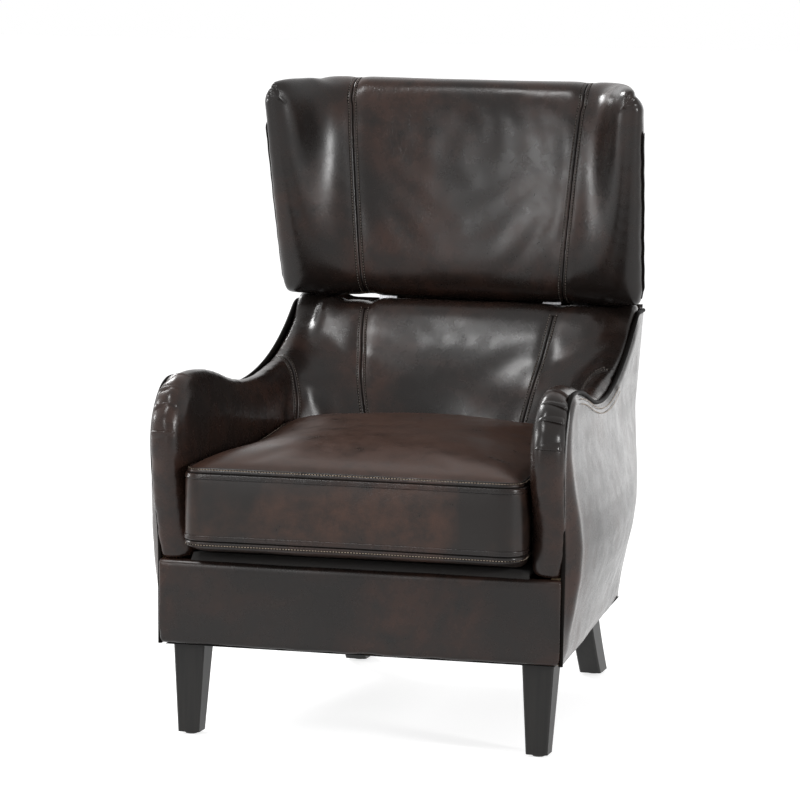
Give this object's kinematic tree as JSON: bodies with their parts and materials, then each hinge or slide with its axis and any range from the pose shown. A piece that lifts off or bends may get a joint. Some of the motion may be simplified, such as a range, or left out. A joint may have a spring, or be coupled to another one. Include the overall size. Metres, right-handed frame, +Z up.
{
  "type": "wing armchair",
  "caption": "Upholstered leather wing armchair with scrolled arms, a loose box seat cushion, a lift-off winged upper back and dark tapered wooden legs.",
  "frame": {"origin": "on the floor below the middle of the chair's overall box", "axes": "+Z up, the chair faces -Y, +X to the viewer's right when looking at its front"},
  "size_m": [0.6858, 0.828, 0.9843],
  "materials": {
    "leather": "semi-gloss two-tone espresso brown",
    "welt": "satin black-brown piping",
    "leg_wood": "matte near-black stain",
    "frame_wood": "bare plywood and hardwood",
    "foam": "upholstery foam and wadding",
    "webbing": "woven elastic",
    "dust_cloth": "black non-woven cloth",
    "steel": "zinc-plated",
    "glide_plastic": "moulded nylon"
  },
  "bodies": {
    "chair": {"arm_cover_left": "leather", "arm_cover_right": "leather", "arm_pad_left": "foam", "arm_pad_right": "foam", "arm_welt_left": "welt", "arm_welt_right": "welt", "back_crossbar": "frame_wood", "back_post_left": "frame_wood", "back_post_right": "frame_wood", "back_rail": "frame_wood", "back_straps": "webbing", "bracket_socket_left": "steel", "bracket_socket_right": "steel", "corner_blocks": "frame_wood", "dust_cover": "dust_cloth", "foot_glides": "glide_plastic", "front_border_cover": "leather", "front_border_pad": "foam", "front_leg_left": "leg_wood", "front_leg_right": "leg_wood", "front_rail": "frame_wood", "leg_bolts": "steel", "leg_inserts": "steel", "lower_back_cover": "leather", "lower_back_pad": "foam", "lumbar_bar": "frame_wood", "outside_arm_panel_left": "leather", "outside_arm_panel_right": "leather", "outside_arm_wadding_left": "foam", "outside_arm_wadding_right": "foam", "outside_back_panel": "leather", "rear_leg_left": "leg_wood", "rear_leg_right": "leg_wood", "seat_deck": "foam", "seat_springs": "steel", "side_board_left": "frame_wood", "side_board_right": "frame_wood", "socket_screws": "steel", "spring_clips": "steel"},
    "upper_back": {"bracket_tongue_left": "steel", "bracket_tongue_right": "steel", "tongue_screws": "steel", "upper_back_cover": "leather", "upper_back_pad": "foam", "upper_low_rail": "frame_wood", "upper_outside_panel": "leather", "upper_post_left": "frame_wood", "upper_post_right": "frame_wood", "upper_top_rail": "frame_wood", "upper_welt_left": "welt", "upper_welt_right": "welt", "wing_board_left": "frame_wood", "wing_board_right": "frame_wood"},
    "seat_cushion": {"seat_cushion_core": "foam", "seat_cushion_cover": "leather"}
  },
  "joints": [
    {"name": "upper_back_lift", "type": "slide", "parent": "chair", "child": "upper_back", "axis": [0, 0.0384, 0.9993], "range_m": [0, 0.12]},
    {"name": "cushion_lift", "type": "slide", "parent": "chair", "child": "seat_cushion", "axis": [0, -0.866, 0.5], "range_m": [0, 0.7]}
  ]
}
